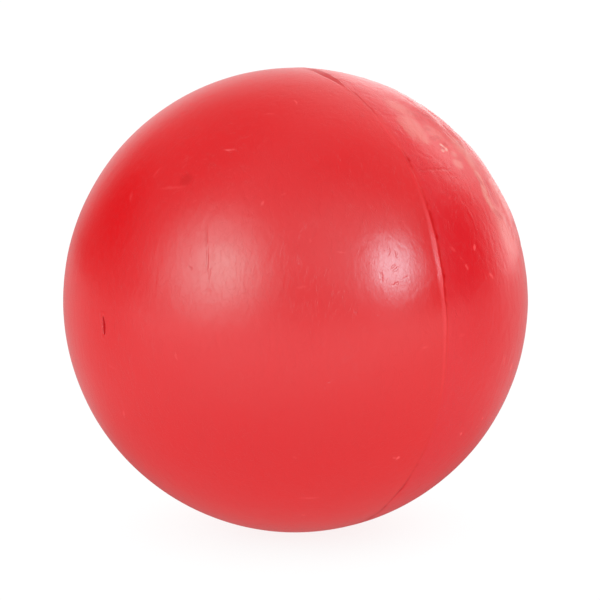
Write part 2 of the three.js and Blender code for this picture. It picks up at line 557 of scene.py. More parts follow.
def make_piece(name: str, points: np.ndarray, faces: list[list[int]],
               layers: dict[str, np.ndarray] | None = None) -> bpy.types.Object:
    """Make a mesh object at the origin from points in millimetres.

    Args:
        name: the piece's name.
        points: places in the part's frame.
        faces: point numbers of each face.
        layers: values for the first points by attribute name, and the rest of the points get 0.

    Returns:
        The object, smooth but for its sharp rims.
    """
    mesh = bpy.data.meshes.new(name)
    mesh.from_pydata((points * MM).tolist(), [], faces)
    mesh.polygons.foreach_set("use_smooth", np.ones(len(mesh.polygons), dtype=bool))
    mesh.set_sharp_from_angle(angle=SHARP_ANGLE)
    for layer, values in (layers or {}).items():
        padded = np.zeros(len(points), dtype=np.float32)
        padded[: values.size] = values.ravel()
        mesh.attributes.new(layer, "FLOAT", "POINT").data.foreach_set("value", padded)
    mesh.update()
    piece = bpy.data.objects.new(name, mesh)
    bpy.context.collection.objects.link(piece)
    return piece


def round_x(radius: np.ndarray, place: np.ndarray, columns: int) -> np.ndarray:
    """Turn a profile about the X axis.

    Column angles start at the front and climb to the top: a point is at its place along X, and
    its radius times minus the cosine and the sine of the angle along Y and Z.

    Args:
        radius: each profile point's distance from the axis.
        place: each profile point's place along the axis.
        columns: how many points go round.

    Returns:
        Points by row and column, with x, y and z last.
    """
    angle = np.arange(columns) * 2 * math.pi / columns
    y = -radius[:, None] * np.cos(angle)
    z = radius[:, None] * np.sin(angle)
    x = np.broadcast_to(place[:, None], y.shape)
    return np.stack([x, y, z], axis=-1)


@dataclass
class SeamRim:
    """The bevelled rims and the cement between them, as the frame has them."""

    ball_radius: float
    hollow_radius: float
    lip_place: float
    bead_place: float
    film: float = 0.3

    @property
    def lip_edge(self) -> tuple[float, float]:
        """Where the outer bevel meets the skin, as radius and place."""
        return math.sqrt(self.ball_radius**2 - self.lip_place**2), self.lip_place

    @property
    def bead_edge(self) -> tuple[float, float]:
        """Where the inner bevel meets the hollow, as radius and place."""
        return math.sqrt(self.hollow_radius**2 - self.bead_place**2), self.bead_place

    @property
    def profile(self) -> np.ndarray:
        """The rim's points between its two edges, from the hollow outwards."""
        face = self.film / 2
        inner = self.bead_edge[0] + self.bead_place - face
        outer = self.lip_edge[0] - self.lip_place + face
        return np.array([[inner, face], [outer, face]])


@dataclass
class HalfShell:
    """One moulded half of the ball, with its relief, rim, hollow and any seat for the plug."""

    name: str
    node: str
    half: Half
    rim: SeamRim
    relief: Relief
    seat_profile: np.ndarray = field(default_factory=lambda: np.empty((0, 2)))
    columns: int = 512
    open_spacing: float = 0.41
    pole_zone: float = 4.2
    pole_spacing: float = 0.12
    hollow_rows: int = 12
    seam_rows: int = 16
    seam_spacing: float = 0.1
    widening_rows: int = 12
    widening_start: float = 0.12

    def skin_rows(self) -> np.ndarray:
        """Polar angles of the skin's rows from the pole to the seam's lip.

        Rows lie close together by the seam, where the lip and crack are, widen over the open
        skin, and have a spacing of their own round the pole, where the smooth half has its slit.

        Returns:
            Angles from the half's own pole in radians, without the pole itself.
        """
        radius = self.rim.ball_radius
        start = math.asin(self.rim.lip_place / radius) * radius
        quarter = math.pi / 2 * radius
        seam_zone = start + np.arange(self.seam_rows) * self.seam_spacing
        spacings = np.linspace(self.widening_start, self.open_spacing, self.widening_rows)
        widening = seam_zone[-1] + np.cumsum(spacings)
        open_end = quarter - self.pole_zone
        open_skin = np.arange(widening[-1] + self.open_spacing, open_end, self.open_spacing)
        pole = np.arange(open_end + self.pole_spacing, quarter - self.pole_spacing / 2, self.pole_spacing)
        distance = np.concatenate([seam_zone, widening, open_skin, pole])
        return (math.pi / 2 - distance / radius)[::-1]

    def points(self) -> tuple[np.ndarray, int, Skin]:
        """All the shell's points, from the skin's pole over the rim to the hollow's pole.

        Returns:
            Points in millimetres with the two poles last, how many rows go before them, and what
            the skin's rows are like.
        """
        hollow_radius = self.rim.hollow_radius
        top = self.seat_profile[-1, 1] if len(self.seat_profile) else hollow_radius
        start = math.acos(min(top / hollow_radius, 1.0))
        end = math.acos(self.rim.bead_place / hollow_radius)
        polar = np.linspace(start, end, self.hollow_rows + 1)[1:]
        hollow = np.stack([hollow_radius * np.sin(polar), hollow_radius * np.cos(polar)], axis=1)
        inner = np.concatenate([self.seat_profile[1:], hollow, self.rim.profile])[::-1]
        inside = round_x(inner[:, 0], inner[:, 1], self.columns)
        polar = self.skin_rows()
        directions = round_x(np.sin(polar), np.cos(polar), self.columns)
        side = self.half.value
        mirror = np.array([side, 1.0, 1.0])
        directions = directions * mirror
        skin = self.relief.skin(directions)
        outside = directions * (self.rim.ball_radius + skin.relief)[..., None]
        skin_pole = np.array([[side, 0.0, 0.0]])
        skin_pole = skin_pole * (self.rim.ball_radius + self.relief.skin(skin_pole).relief)[:, None]
        hollow_top = self.seat_profile[0, 1] if len(self.seat_profile) else hollow_radius
        hollow_pole = np.array([[side * hollow_top, 0.0, 0.0]])
        rows = np.concatenate([outside, inside * mirror])
        return np.concatenate([rows.reshape(-1, 3), hollow_pole, skin_pole]), len(rows), skin

    def build(self) -> bpy.types.Object:
        """Make the shell's closed mesh.

        Returns:
            The piece, riding on the body in place of its node.
        """
        points, rows, skin = self.points()
        quads = grid_faces(rows, self.columns, close_rows=False)
        column = np.arange(self.columns)
        aside = (column + 1) % self.columns
        hollow_pole, skin_pole = len(points) - 2, len(points) - 1
        last = (rows - 1) * self.columns
        skin_fan = np.stack([aside, column, np.full(self.columns, skin_pole)], axis=1)
        hollow_fan = np.stack([last + column, last + aside, np.full(self.columns, hollow_pole)], axis=1)
        faces = [quads, hollow_fan, skin_fan]
        if self.half is Half.WRINKLED:
            faces = [group[:, ::-1] for group in faces]
        piece = make_piece(self.name, points, [face for group in faces for face in group.tolist()],
                           skin.layers)
        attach(piece, BODY)
        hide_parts(self.node)
        return piece


@dataclass
class CementRing:
    """The cured cement between the rims, with its lip outside and its bead inside."""

    name: str
    node: str
    rim: SeamRim
    relief: Relief
    bead_rise: float = 0.5
    lip_columns: int = 1536
    lip_rows: int = 25
    bead_rows: int = 7

    def build(self) -> bpy.types.Object:
        """Make the ring's closed mesh.

        The lip is the ball's sphere with the seam's relief between the two outer bevels. The
        bead is a parabola between the two inner bevels.

        Returns:
            The piece, riding on the body in place of its node.
        """
        radius = self.rim.ball_radius
        place = np.linspace(-self.rim.lip_place, self.rim.lip_place, self.lip_rows)
        polar = np.arccos(place / radius)
        directions = round_x(np.sin(polar), np.cos(polar), self.lip_columns)
        skin = self.relief.skin(directions)
        lip = directions * (radius + skin.relief)[..., None]
        right = self.rim.profile[::-1]
        share = np.linspace(1, -1, self.bead_rows)
        bead_radius = self.rim.bead_edge[0] - self.bead_rise * (1 - share**2)
        bead = np.stack([bead_radius, share * self.rim.bead_place], axis=1)
        left = self.rim.profile * np.array([1.0, -1.0])
        inner = np.concatenate([right, bead, left])
        rows = np.concatenate([lip, round_x(inner[:, 0], inner[:, 1], self.lip_columns)])
        faces = grid_faces(len(rows), self.lip_columns, close_rows=True)
        piece = make_piece(self.name, rows.reshape(-1, 3), faces.tolist(), skin.layers)
        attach(piece, BODY)
        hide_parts(self.node)
        return piece


@dataclass(frozen=True)
class Mark:
    """A small mark on the skin, where the photograph shows it.

    pixel is its middle, heading its direction in the picture, counter-clockwise from the right
    in degrees, and length and width are in millimetres.
    """

    kind: MarkKind
    pixel: tuple[float, float]
    heading: float
    length: float
    width: float
    strength: float = 1.0

    def frame(self, view: PhotoView, radius: float) -> tuple[Vector, Vector, Vector]:
        """Where the mark lies, for a Mapping node of type Texture.

        Args:
            view: the photograph's camera.
            radius: the ball's radius in millimetres.

        Returns:
            Its middle in metres, its turn as XYZ angles, and its half sizes in metres.
        """
        heading = math.radians(self.heading)
        normal = view.on_ball(self.pixel)
        ahead = view.on_ball((self.pixel[0] + math.cos(heading), self.pixel[1] - math.sin(heading)))
        along = ahead - normal
        along /= np.linalg.norm(along)
        aside = np.cross(normal, along)
        turn = Matrix(np.stack([along, aside, np.cross(along, aside)], axis=1).tolist())
        sizes = Vector((self.length, self.width, self.width)) * (MM / 2)
        return Vector(normal * radius * MM), Vector(turn.to_euler("XYZ")), sizes


SMOOTH_MARKS = (
    Mark(MarkKind.STAIN, (185.8, 180), 20, 2.0, 1.9, 0.8),
    Mark(MarkKind.SCUFF, (172, 187.6), 4, 4.4, 0.5, 0.2),
    Mark(MarkKind.SCUFF, (229.5, 149.8), 2, 1.7, 0.35, 0.8),
    Mark(MarkKind.SCUFF, (295.6, 102), 115, 1.3, 0.35, 0.6),
    Mark(MarkKind.SCUFF, (269, 114), 3, 1.8, 0.35, 0.25),
    Mark(MarkKind.SCUFF, (262.5, 203), 60, 0.8, 0.4, 0.5),
    Mark(MarkKind.SCUFF, (284, 194), 35, 0.9, 0.3, 0.2),
    Mark(MarkKind.SCUFF, (310, 241), 100, 0.7, 0.35, 0.2),
    Mark(MarkKind.SCUFF, (341, 252.5), 0, 1.3, 0.3, 0.3),
    Mark(MarkKind.SCUFF, (302, 287), 10, 1.6, 0.35, 0.2),
    Mark(MarkKind.SCUFF, (176, 356), 100, 1.1, 0.4, 0.3),
    Mark(MarkKind.SCUFF, (111, 367), 140, 1.5, 0.4, 0.2),
    Mark(MarkKind.SCUFF, (124, 414), 95, 1.4, 0.4, 0.35),
    Mark(MarkKind.SCUFF, (131, 197), 80, 1.6, 0.4, 0.25),
    Mark(MarkKind.SCUFF, (157, 172), 50, 2.0, 0.4, 0.2),
    Mark(MarkKind.SCUFF, (295, 457.5), 165, 0.8, 0.35, 0.25),
    Mark(MarkKind.SCUFF, (308, 498), 2, 2.9, 0.4, 0.35),
    Mark(MarkKind.SCUFF, (304, 515), 0, 0.9, 0.4, 0.5),
    Mark(MarkKind.SCUFF, (394.5, 458.2), 150, 0.7, 0.35, 0.7),
    Mark(MarkKind.SCUFF, (397.8, 458), 40, 0.8, 0.4, 1.0),
    Mark(MarkKind.SCUFF, (425, 347.5), 10, 1.0, 0.35, 0.25),
    # Scratches: cut in, with painted shade in them.
    Mark(MarkKind.SCRATCH, (206.6, 238), 92, 3.4, 0.28, 0.7),
    Mark(MarkKind.SCRATCH, (207.4, 259), 88, 3.4, 0.4, 1.0),
    Mark(MarkKind.SCRATCH, (209.6, 275), 84, 2.2, 0.3, 0.6),
    Mark(MarkKind.SCRATCH, (190.5, 268), 120, 0.8, 0.35, 0.7),
    Mark(MarkKind.SCRATCH, (206, 291), 40, 1.0, 0.3, 0.25),
    Mark(MarkKind.SCRATCH, (389.3, 251.8), 75, 1.2, 0.3, 0.5),
    Mark(MarkKind.SCRATCH, (396.2, 253.7), 110, 1.2, 0.3, 0.5),
    Mark(MarkKind.SCRATCH, (396.2, 269.6), 42, 1.5, 0.28, 0.5),
    Mark(MarkKind.SCRATCH, (393.6, 266), 42, 1.2, 0.28, 0.5),
    Mark(MarkKind.SCRATCH, (381.5, 276.7), 88, 1.5, 0.5, 0.5),
    Mark(MarkKind.SCRATCH, (395.6, 284), 25, 1.3, 0.3, 0.45),
    Mark(MarkKind.SCRATCH, (406.3, 277.7), 20, 1.0, 0.3, 0.25),
    Mark(MarkKind.SCRATCH, (355, 312), 130, 0.9, 0.3, 0.5),
)

WRINKLED_MARKS = (
    # Pale patches along the upper right outline: partly wax bloom, partly painted sheen.
    Mark(MarkKind.BLOOM_AND_SHEEN, (442.5, 146), 140, 1.1, 0.6, 1.0),
    Mark(MarkKind.BLOOM_AND_SHEEN, (446.5, 149.5), 60, 1.0, 0.6, 1.0),
    Mark(MarkKind.BLOOM_AND_SHEEN, (443, 150.5), 10, 0.9, 0.5, 0.8),
    Mark(MarkKind.SCUFF, (449.5, 198), 80, 0.7, 0.4, 0.35),
    Mark(MarkKind.SCUFF, (474.5, 247.5), 96, 0.9, 0.45, 1.0),
    Mark(MarkKind.SCUFF, (453, 249), 140, 1.4, 0.4, 0.4),
    Mark(MarkKind.SCUFF, (467, 267.5), 118, 1.0, 0.45, 0.8),
    Mark(MarkKind.SCUFF, (461.5, 258), 130, 1.4, 0.35, 0.2),
    Mark(MarkKind.SCUFF, (491.5, 276), 146, 1.5, 0.5, 0.7),
    Mark(MarkKind.SCUFF, (460.8, 434), 80, 0.7, 0.5, 1.0),
    Mark(MarkKind.SCUFF, (482.5, 418), 90, 0.6, 0.5, 0.7),
    Mark(MarkKind.SCUFF, (477, 427), 110, 0.7, 0.4, 0.4),
    Mark(MarkKind.SCUFF, (504.5, 360), 80, 1.4, 0.5, 0.4),
    Mark(MarkKind.SCUFF, (511.5, 366), 75, 1.2, 0.6, 0.8),
    Mark(MarkKind.SCUFF, (462, 335), 25, 1.2, 0.5, 0.15),
    # Scratches and dark creases: cut in, with painted shade in them.
    Mark(MarkKind.SCRATCH, (434, 169.5), 2, 8.5, 0.5, 0.6),
    Mark(MarkKind.BLOOM_AND_SHEEN, (414, 127), -55, 6.5, 4.2, 0.35),
    Mark(MarkKind.BLOOM_AND_SHEEN, (421, 135), -50, 3.6, 3.0, 0.3),
    Mark(MarkKind.BLOOM_AND_SHEEN, (425, 139.5), -20, 1.6, 2.2, 0.35),
    Mark(MarkKind.BLOOM_AND_SHEEN, (406, 128), -50, 5.0, 1.3, 0.3),
    Mark(MarkKind.BLOOM_AND_SHEEN, (400, 108), -30, 5.0, 4.0, 0.3),
    Mark(MarkKind.BLOOM_AND_SHEEN, (433, 132), -45, 3.5, 3.5, 0.25),
    Mark(MarkKind.BLOOM_AND_SHEEN, (461, 147), -52, 4.5, 5.0, 0.45),
    Mark(MarkKind.BLOOM_AND_SHEEN, (454.2, 154), -20, 1.4, 1.2, 0.35),
    Mark(MarkKind.BLOOM_AND_SHEEN, (458, 164), 15, 2.4, 1.8, 0.4),
    Mark(MarkKind.BLOOM_AND_SHEEN, (469.5, 160.5), -65, 3.6, 2.6, 0.45),
    Mark(MarkKind.BLOOM_AND_SHEEN, (479, 177), -62, 3.0, 1.8, 0.6),
    Mark(MarkKind.BLOOM_AND_SHEEN, (484, 189), -78, 3.0, 1.8, 0.6),
    Mark(MarkKind.BLOOM_AND_SHEEN, (488, 200), -62, 3.0, 1.8, 0.6),
    Mark(MarkKind.BLOOM_AND_SHEEN, (494.5, 210), -48, 3.0, 1.6, 0.5),
    Mark(MarkKind.BLOOM_AND_SHEEN, (499, 193), -62, 8.0, 7.0, 0.2),
    Mark(MarkKind.BLOOM_AND_SHEEN, (506, 232), -68, 8.0, 6.0, 0.2),
    Mark(MarkKind.SCRATCH, (398, 113), -30, 2.2, 1.2, 0.6),
    Mark(MarkKind.SCRATCH, (408.8, 111.5), 60, 1.4, 1.0, 0.5),
    Mark(MarkKind.SCRATCH, (416.2, 115.2), 30, 1.2, 1.0, 0.8),
    Mark(MarkKind.SCRATCH, (422, 114.2), -35, 1.7, 1.0, 1.0),
    Mark(MarkKind.SCRATCH, (427.1, 116.4), -20, 1.2, 1.0, 0.8),
    Mark(MarkKind.SCRATCH, (421.8, 120), -70, 2.4, 2.0, 0.5),
    Mark(MarkKind.SCRATCH, (427.7, 128.7), 0, 2.0, 0.8, 0.8),
    Mark(MarkKind.SCRATCH, (433, 138), -10, 1.7, 1.0, 1.0),
    Mark(MarkKind.SCRATCH, (438, 137.5), 20, 1.3, 1.0, 1.0),
    Mark(MarkKind.SCRATCH, (442.4, 148), 30, 0.9, 0.7, 1.0),
    Mark(MarkKind.SCRATCH, (440.7, 141.8), -30, 1.3, 0.8, 0.6),
    Mark(MarkKind.SCRATCH, (445.5, 143.6), 15, 1.4, 0.9, 0.9),
    Mark(MarkKind.SCRATCH, (460.8, 144.8), -50, 1.8, 1.2, 1.0),
    Mark(MarkKind.SCRATCH, (460.3, 158.3), 5, 2.6, 1.3, 0.7),
    Mark(MarkKind.SCRATCH, (479.8, 180.5), -60, 2.4, 0.9, 1.0),
    Mark(MarkKind.SCRATCH, (489.5, 190), -66, 4.4, 1.5, 0.9),
    Mark(MarkKind.SCRATCH, (495.3, 201), -50, 1.8, 1.8, 0.9),
    Mark(MarkKind.SCRATCH, (497, 213.5), -42, 3.0, 1.1, 1.0),
    Mark(MarkKind.SCRATCH, (507, 222), -70, 2.0, 2.0, 0.8),
    Mark(MarkKind.SCRATCH, (511.5, 233), -70, 1.8, 2.2, 0.8),
)


def add_node(
    tree: bpy.types.NodeTree,
    kind: str,
    inputs: dict[str | int, object] | None = None,
    **settings: object,
) -> bpy.types.Node:
    """Add a node with its settings, values and links.

    Args:
        tree: the tree that it goes into.
        kind: the node's type name, such as ShaderNodeMath.
        inputs: socket name or number to a value, or to another node's output to link.
        settings: attributes of the node itself.

    Returns:
        The node.
    """
    node = tree.nodes.new(kind)
    for name, value in settings.items():
        setattr(node, name, value)
    for socket, value in (inputs or {}).items():
        if isinstance(value, bpy.types.NodeSocket):
            tree.links.new(value, node.inputs[socket])
        else:
            node.inputs[socket].default_value = value
    return node


def new_material(name: str) -> bpy.types.Material:
    """Make a material with an empty node tree.

    Args:
        name: the material's name.

    Returns:
        The material.
    """
    material = bpy.data.materials.new(name)
    material.use_nodes = True
    material.node_tree.nodes.clear()
    return material


@dataclass(frozen=True)
class MouldedRubber:
    """Coloured natural rubber cured in a steel mould.

    The mould leaves a satin skin with soft waves and a fine drawn grain, and handling leaves
    hairlines, light scuffs and a stain. Wax that comes to the surface pales it in soft patches,
    which are partly a painted sheen of reflected light. Painted shade darkens the seam and the
    slit and takes some of their gloss, and darkens the scratches, and a painted highlight
    brightens the seam's lip.

    Sizes, rises and depths are in millimetres. A mark is whole within mark_core of its half
    sizes and gone past mark_edge. gloss is the specular level, and the painted shade takes
    gloss_lost of it.
    """

    name: str
    colour: str
    pale_colour: str
    roughness: float
    grain: float
    cloud: float
    hairline: float
    marks: tuple[Mark, ...] = ()
    scuff_colour: str = "#FF4A4C"
    # Colour of the stain, and of the painted shade in the scratches.
    stain_and_shade_colour: str = "#D8060C"
    # Colour of the wax bloom and its painted sheen.
    bloom_and_sheen_colour: str = "#F09C8C"
    # Colour of the painted shade in the seam and the slit.
    painted_shade_colour: str = "#CC0E16"
    # Colour of the painted highlight on the seam's lip.
    painted_lip_highlight_colour: str = "#FF3038"
    mottle_size: float = 6.0
    cloud_size: float = 1.7
    grain_size: float = 0.4
    swirl_size: float = 1.3
    swirl_band: float = 0.03
    patch_size: float = 4.0
    wobble_size: float = 0.6
    wobble: float = 0.45
    mark_core: float = 0.4
    mark_edge: float = 1.3
    scuff_rise: float = 0.012
    scratch_depth: float = 0.03
    # How much painted shade the scratches take.
    scratch_shade_share: float = 0.6
    gloss: float = 0.5
    gloss_lost: float = 0.45
    ior: float = 1.52

    def mask(self, tree: bpy.types.NodeTree, place: bpy.types.NodeSocket, kind: MarkKind,
             view: PhotoView, radius: float) -> bpy.types.NodeSocket | float:
        """Join the marks of one kind into a mask, 1 on a strong mark and 0 off them all.

        Each is an ellipsoid on the skin: the place in its own half sizes is under 1 inside it.

        Args:
            tree: the material's tree.
            place: the Object coordinates, in metres.
            kind: which marks to join.
            view: the photograph's camera.
            radius: the ball's radius in millimetres.

        Returns:
            The mask's output, or 0 where the skin has no such mark.
        """
        joined = 0.0
        for mark in (m for m in self.marks if m.kind is kind):
            middle, turn, sizes = mark.frame(view, radius)
            inside = add_node(tree, "ShaderNodeMapping",
                              {"Vector": place, "Location": middle, "Rotation": turn, "Scale": sizes},
                              vector_type="TEXTURE")
            away = add_node(tree, "ShaderNodeVectorMath", {0: inside.outputs[0]}, operation="LENGTH")
            strength = add_node(tree, "ShaderNodeMapRange",
                                {"Value": away.outputs["Value"], "From Min": self.mark_edge,
                                 "From Max": self.mark_core, "To Min": 0.0, "To Max": mark.strength},
                                interpolation_type="SMOOTHSTEP")
            joined = add_node(tree, "ShaderNodeMath", {0: joined, 1: strength.outputs[0]},
                              operation="MAXIMUM").outputs[0]
        return joined

    def build(self, view: PhotoView, radius: float) -> bpy.types.Material:
        """Make the material.

        Args:
            view: the photograph's camera, which places the marks.
            radius: the ball's radius in millimetres.

        Returns:
            The material.
        """
        material = new_material(self.name)
        tree = material.node_tree
        place = add_node(tree, "ShaderNodeTexCoord").outputs["Object"]
        wobble = add_node(tree, "ShaderNodeTexNoise",
                          {"Vector": place, "Scale": 1 / (self.wobble_size * MM),
                           "Detail": 1.0}).outputs["Color"]
        centred = add_node(tree, "ShaderNodeVectorMath", {0: wobble, 1: (0.5, 0.5, 0.5)},
                           operation="SUBTRACT").outputs[0]
        bent = add_node(tree, "ShaderNodeVectorMath",
                        {0: centred, 1: (self.wobble * MM,) * 3, 2: place},
                        operation="MULTIPLY_ADD").outputs[0]
        scuffs = self.mask(tree, bent, MarkKind.SCUFF, view, radius)
        scratches = self.mask(tree, bent, MarkKind.SCRATCH, view, radius)
        stains = self.mask(tree, bent, MarkKind.STAIN, view, radius)
        blooms_and_sheen = self.mask(tree, bent, MarkKind.BLOOM_AND_SHEEN, view, radius)
        bloom, painted_shade, painted_lip_highlight = (add_node(tree, "ShaderNodeAttribute", attribute_name=layer).outputs["Fac"]
                              for layer in ("bloom", "painted_shade", "painted_lip_highlight"))
        mottle = add_node(tree, "ShaderNodeTexNoise",
                          {"Vector": place, "Scale": 1 / (self.mottle_size * MM), "Detail": 2.0,
                           "Roughness": 0.55}).outputs[0]
        colour = self.blend(tree, mottle, linear(self.colour), linear(self.pale_colour))
        # Wax bloom with painted sheen, as clouds and as marks.
        colour = self.blend(tree, bloom, colour, linear(self.bloom_and_sheen_colour))
        colour = self.blend(tree, blooms_and_sheen, colour, linear(self.bloom_and_sheen_colour))
        # Painted highlight on the seam's lip.
        colour = self.blend(tree, painted_lip_highlight, colour, linear(self.painted_lip_highlight_colour))
        # Painted shade in the seam's crack, the trimmed hollow and the slit.
        colour = self.blend(tree, painted_shade, colour, linear(self.painted_shade_colour))
        colour = self.blend(tree, stains, colour, linear(self.stain_and_shade_colour))
        # Painted shade in the scratches.
        colour = self.blend(tree, scratches, colour, linear(self.stain_and_shade_colour), self.scratch_shade_share)
        colour = self.blend(tree, scuffs, colour, linear(self.scuff_colour))
        normal = self.bumps(tree, place, scuffs, scratches)
        # The painted shade also takes gloss from the seam and the slit.
        gloss = add_node(tree, "ShaderNodeMath", {0: painted_shade, 1: -self.gloss_lost, 2: self.gloss},
                         operation="MULTIPLY_ADD", use_clamp=True).outputs[0]
        shader = add_node(tree, "ShaderNodeBsdfPrincipled",
                          {"Base Color": colour, "Roughness": self.roughness, "IOR": self.ior,
                           "Specular IOR Level": gloss, "Normal": normal})
        add_node(tree, "ShaderNodeOutputMaterial", {"Surface": shader.outputs[0]})
        return material

    def blend(self, tree: bpy.types.NodeTree, mask: object, under: object, over: object,
              share: float = 1.0) -> bpy.types.NodeSocket:
        """Lay one colour over another where a mask says.

        Args:
            tree: the material's tree.
            mask: how much of the upper colour shows, from 0 to 1.
            under: the lower colour or its output.
            over: the upper colour or its output.
            share: the most that the upper colour may cover.

        Returns:
            The blended colour's output.
        """
        cover = add_node(tree, "ShaderNodeMath", {0: mask, 1: share}, operation="MULTIPLY")
        mixed = add_node(tree, "ShaderNodeMix", {0: cover.outputs[0], 6: under, 7: over}, data_type="RGBA")
        return mixed.outputs[2]

    def bumps(self, tree: bpy.types.NodeTree, place: bpy.types.NodeSocket, scuffs: object,
              scratches: object) -> bpy.types.NodeSocket:
        """The skin's fine relief, in millimetres, with the marks' relief on it.

        The grain and the clouds are noise drawn out to twice its size up and down. The hairlines
        run where a third noise is near its middle value, and lie thick in soft patches.

        Args:
            tree: the material's tree.
            place: the Object coordinates, in metres.
            scuffs: the mask of the scuffs, which stand out.
            scratches: the mask of the scratches, which are cut in.

        Returns:
            The normal's output.
        """
        drawn = add_node(tree, "ShaderNodeVectorMath", {0: place, 1: (1.0, 1.0, 0.5)},
                         operation="MULTIPLY").outputs[0]
        height = 0.0
        for size, rise in ((self.grain_size, self.grain), (self.cloud_size, self.cloud)):
            noise = add_node(tree, "ShaderNodeTexNoise",
                             {"Vector": drawn, "Scale": 1 / (size * MM), "Detail": 1.0,
                              "Distortion": 0.8}).outputs[0]
            height = add_node(tree, "ShaderNodeMath", {0: noise, 1: rise, 2: height},
                              operation="MULTIPLY_ADD").outputs[0]
        swirl = add_node(tree, "ShaderNodeTexNoise",
                         {"Vector": drawn, "Scale": 1 / (self.swirl_size * MM), "Detail": 1.5,
                          "Distortion": 1.5}).outputs[0]
        line = add_node(tree, "ShaderNodeMath", {0: swirl, 1: 0.5, 2: self.swirl_band},
                        operation="COMPARE").outputs[0]
        patches = add_node(tree, "ShaderNodeTexNoise",
                           {"Vector": place, "Scale": 1 / (self.patch_size * MM), "Detail": 1.0}).outputs[0]
        line = add_node(tree, "ShaderNodeMath", {0: line, 1: patches}, operation="MULTIPLY").outputs[0]
        for mask, rise in ((line, -self.hairline), (scuffs, self.scuff_rise),
                           (scratches, -self.scratch_depth)):
            height = add_node(tree, "ShaderNodeMath", {0: mask, 1: rise, 2: height},
                              operation="MULTIPLY_ADD").outputs[0]
        return add_node(tree, "ShaderNodeBump", {"Height": height, "Distance": MM}).outputs[0]


@dataclass(frozen=True)
class SoftGum:
    """Unfilled pale gum rubber, cut from sheet: matt, slightly cloudy and faintly grained."""

    name: str = "gum_rubber_cut_from_sheet"
    colour: str = "#C8A070"
    cloud: str = "#B58B5C"
    roughness: float = 0.6
    cloud_size: float = 2.5
    grain_size: float = 0.3
    grain_rise: float = 0.02

    def build(self) -> bpy.types.Material:
        """Make the material.

        Returns:
            The material.
        """
        material = new_material(self.name)
        tree = material.node_tree
        place = add_node(tree, "ShaderNodeTexCoord").outputs["Object"]
        clouds = add_node(tree, "ShaderNodeTexNoise",
                          {"Vector": place, "Scale": 1 / (self.cloud_size * MM), "Detail": 2.0}).outputs[0]
        colour = add_node(tree, "ShaderNodeMix",
                          {0: clouds, 6: linear(self.colour), 7: linear(self.cloud)}, data_type="RGBA")
        grain = add_node(tree, "ShaderNodeTexNoise",
                         {"Vector": place, "Scale": 1 / (self.grain_size * MM), "Detail": 2.0}).outputs[0]
        normal = add_node(tree, "ShaderNodeBump",
                          {"Height": grain, "Distance": self.grain_rise * MM}).outputs[0]
        shader = add_node(tree, "ShaderNodeBsdfPrincipled",
                          {"Base Color": colour.outputs[2], "Roughness": self.roughness, "Normal": normal})
        add_node(tree, "ShaderNodeOutputMaterial", {"Surface": shader.outputs[0]})
        return material


@dataclass(frozen=True)
class Lobe:
    """A soft bright or dark part of the studio that the skin reflects.

    towards is given by the camera's right, up and back, so that the picture's own reflections
    place it, width is the angle from its middle to its edge, and level is added to the studio's.
    The cool ones have less red, and red is their share of it.
    """

    towards: tuple[float, float, float]
    width: float
    level: float
    red: float = 1.0


@dataclass(frozen=True)
class Softbox:
    """A studio softbox: a round area lamp that shows in the skin's reflection.

    spread is the angle from its middle to its edge as the ball sees it, and brightness counts
    white paper in this studio as 1.
    """

    name: str
    towards: tuple[float, float, float]
    spread: float
    brightness: float
    colour: tuple[float, float, float]
    distance: float = 0.6


